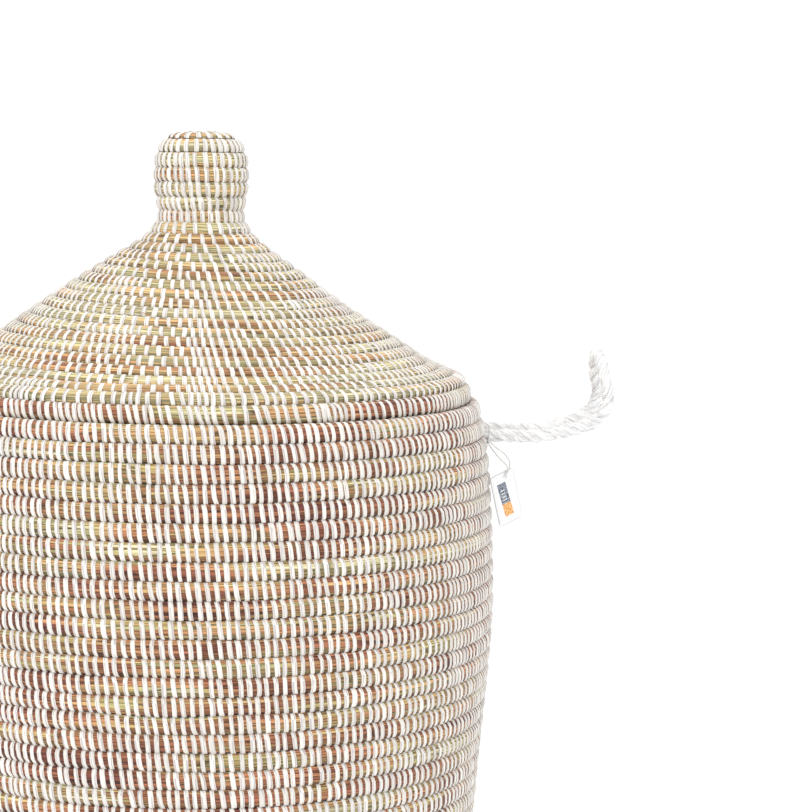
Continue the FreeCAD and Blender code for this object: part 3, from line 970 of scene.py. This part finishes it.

# %% [markdown]
# ### Plastic strips
# The strips are cut from plain white plastic and pulled tight, which folds them lengthwise into two
# or three ribs. Each strip's map runs across it and round it, so the ribs follow the strip. The
# grey in the folds between the ribs, the dark on each strip's sides and the dark where it goes into
# a joint are painted shade. Every strip also carries one number, tint, which makes some a little
# greyer than others, and the mark free on a side that has no course beside it, where no painted
# joint shade is drawn.

# %% Strip finish
STRIP_MIDDLE = 0.375         # where a strip's outer face has its middle on the map
strip_plastic, shader = new_material("white_strip", Specular_IOR_Level=0.4, Sheen_Weight=0.1)
uv, width_share, round_share = map_of()
tint = add("Attribute", attribute_name="tint", out="Fac")
rib = noise(uv, (8.0, 1.1), 1.0)
fold = noise(uv, (17.0, 3.0), 2.0)
white = blended(tint, linear(224, 220, 213), linear(246, 243, 236))
# Painted shade: grey in the folds between the ribs.
color = blended(between(rib, 0.36, 0.50), linear(198, 190, 189), white)
# Painted shade: the sides of each strip are dark brown.
side = maths("ABSOLUTE", maths("SUBTRACT", maths("FRACT", width_share), STRIP_MIDDLE))
color = blended(between(side, 0.17, 0.30), color, linear(88, 64, 56))
# Painted shade: the strip is dark where it goes into a joint, but not on a free side.
outside_joint_shade = painted_joint_shade(round_share, 0.5 - 1 / ROUND, 0.09, 0.16)
color = blended(outside_joint_shade, linear(78, 58, 52), color)
height = maths("MULTIPLY_ADD", rib, 1.0, times(fold, 0.5))
finish_surface(shader, color, between(fold, 0.3, 0.7, 0.28, 0.48), height, 0.5 * MM)

# %% [markdown]
# ### Rope plastic
# The handles are twisted from the same plastic film, crumpled instead of cut. Its wrinkles run
# mostly along each strand; their paler crests are painted light and their greyer creases painted
# shade.

# %% Rope finish
rope_plastic, shader = new_material("white_rope", Specular_IOR_Level=0.45)
uv = map_of()[0]
wrinkle = noise(uv, (0.10, 7.0), 4.0, Distortion=0.6)
crease = cell_edge(stretched(uv, (0.12, 5.0, 0.0)))
# Painted light and shade: the wrinkles' crests are paler and their creases greyer.
color = blended(between(wrinkle, 0.30, 0.60), linear(222, 221, 223), linear(249, 249, 248))
height = maths("MULTIPLY_ADD", between(crease, 0.0, 0.25), 0.6, wrinkle)
finish_surface(shader, color, between(wrinkle, 0.3, 0.7, 0.30, 0.50), height, 0.8 * MM)

# %% [markdown]
# ### Tag and string
# The tag is white card with a soft block of colour printed on it. The block is plain: a grey
# blue field over an orange one, with a few pale marks that stand for print and say nothing. The
# string is thin twisted cotton.

# %% Tag and string finishes
tag_paper, shader = new_material("tag_card", Specular_IOR_Level=0.3)
uv, side, rise = map_of()


def within(value, low, high):
    """1 where value lies between low and high."""
    return times(maths("GREATER_THAN", value, low), maths("LESS_THAN", value, high))


# The back's map is moved 100 mm to the side, which the mask of the card's grey border, a painted
# edge shade, undoes.
flat_side = maths("MULTIPLY_ADD", maths("GREATER_THAN", side, 50.0), -100.0, side)
body = times(within(flat_side, -13.9, 8.9), within(rise, -33.4, 3.4))
tilted = maths("MULTIPLY_ADD", rise, 0.1, maths("ADD", side, 1.6))
block = times(within(tilted, -8.2, 0.5), within(rise, -28.5, -3.5))
speckle = between(noise(uv, (0.55, 0.9), 3.0), 0.42, 0.58)
field = blended(speckle, linear(84, 90, 102), linear(158, 166, 178))
amber = blended(speckle, linear(224, 148, 84), linear(248, 206, 142))
printed = blended(maths("LESS_THAN", rise, -19.0), field, amber)
lines = maths("GREATER_THAN", maths("SINE", times(rise, 2.6)), 0.55)
marks = times(within(tilted, -6.2, -2.2), within(rise, -17.0, -7.0))
marks = times(lines, marks)
printed = blended(marks, printed, linear(232, 232, 230))
grain = add("TexNoise", {"Vector": uv, "Scale": 3.5, "Detail": 3.0}, noise_dimensions="2D")
paper = blended(grain, linear(232, 232, 232), linear(246, 246, 246))
# Painted shade: a grey band 0.6 mm wide round the edge of the card and on its cut sides.
paper = blended(body, linear(208, 208, 210), paper)
finish_surface(shader, blended(block, paper, printed),
               between(grain, 0.3, 0.7, 0.50, 0.65), grain, 0.06 * MM)

tag_cotton, shader = new_material("tag_string", Sheen_Weight=0.3, Roughness=0.8)
place = add("TexCoord", out="Object")
twist = add("TexWave", {"Vector": place, "Scale": 900.0, "Distortion": 1.5},
            bands_direction="DIAGONAL")
finish_surface(shader, blended(twist, linear(206, 206, 204), linear(246, 246, 244)),
               None, twist, 0.15 * MM)

# %% Put the finishes on the pieces
for grass in grass_pieces:
    grass.data.materials.append(lid_grass if grass in pale_pieces else wall_grass)
for finish, pieces in ((strip_plastic, strip_pieces), (loose_straw, straws),
                       (rope_plastic, handles), (tag_paper, [card]),
                       (tag_cotton, [upper_string[0], lower_string[0], loop])):
    for piece in pieces:
        piece.data.materials.append(finish)
print("finishes on", len(bpy.data.materials), "materials")

# %% [markdown]
# ## Floor and light
# The basket stands in a plain bright studio: a pale floor, a white surround, and large soft
# lights that leave hardly any shadow. The view is set to Standard so that white stays white.

# %% Studio
floor_mesh = bpy.data.meshes.new("studio_floor")
floor_mesh.from_pydata([(-30, -30, 0), (30, -30, 0), (30, 30, 0), (-30, 30, 0)], [], [(0, 1, 2, 3)])
floor = new_object("studio_floor", floor_mesh)
floor_paint, shader = new_material("studio_floor", Roughness=0.9, Specular_IOR_Level=0.1)
soft = add("TexNoise", {"Vector": add("TexCoord", out="Object"), "Scale": 0.6})
finish_surface(shader, blended(soft, linear(251, 251, 251), linear(254, 254, 254)))
floor_mesh.materials.append(floor_paint)

world = bpy.data.worlds.new("studio")
world.use_nodes = True
world.node_tree.nodes["Background"].inputs[0].default_value = (1.0, 1.0, 1.0, 1.0)
world.node_tree.nodes["Background"].inputs[1].default_value = 1.08
bpy.context.scene.world = world
bpy.context.scene.view_settings.view_transform = "Standard"


def soft_light(name, place, target, size, watts):
    """Square area light at place, facing target."""
    data = bpy.data.lights.new(name, "AREA")
    data.size = size
    data.energy = watts
    light = new_object(name, data)
    towards = Vector(target) - Vector(place)
    light.matrix_world = (Matrix.Translation(place)
                          @ towards.to_track_quat("-Z", "Y").to_matrix().to_4x4())


soft_light("key_light", (-1.6, -2.4, 2.4), (0, 0, 0.4), 1.8, 26.0)
soft_light("top_light", (0.3, 0.6, 3.0), (0, 0, 0.3), 2.5, 20.0)
print("lights ready")

# %% The end
bpy.context.view_layer.update()
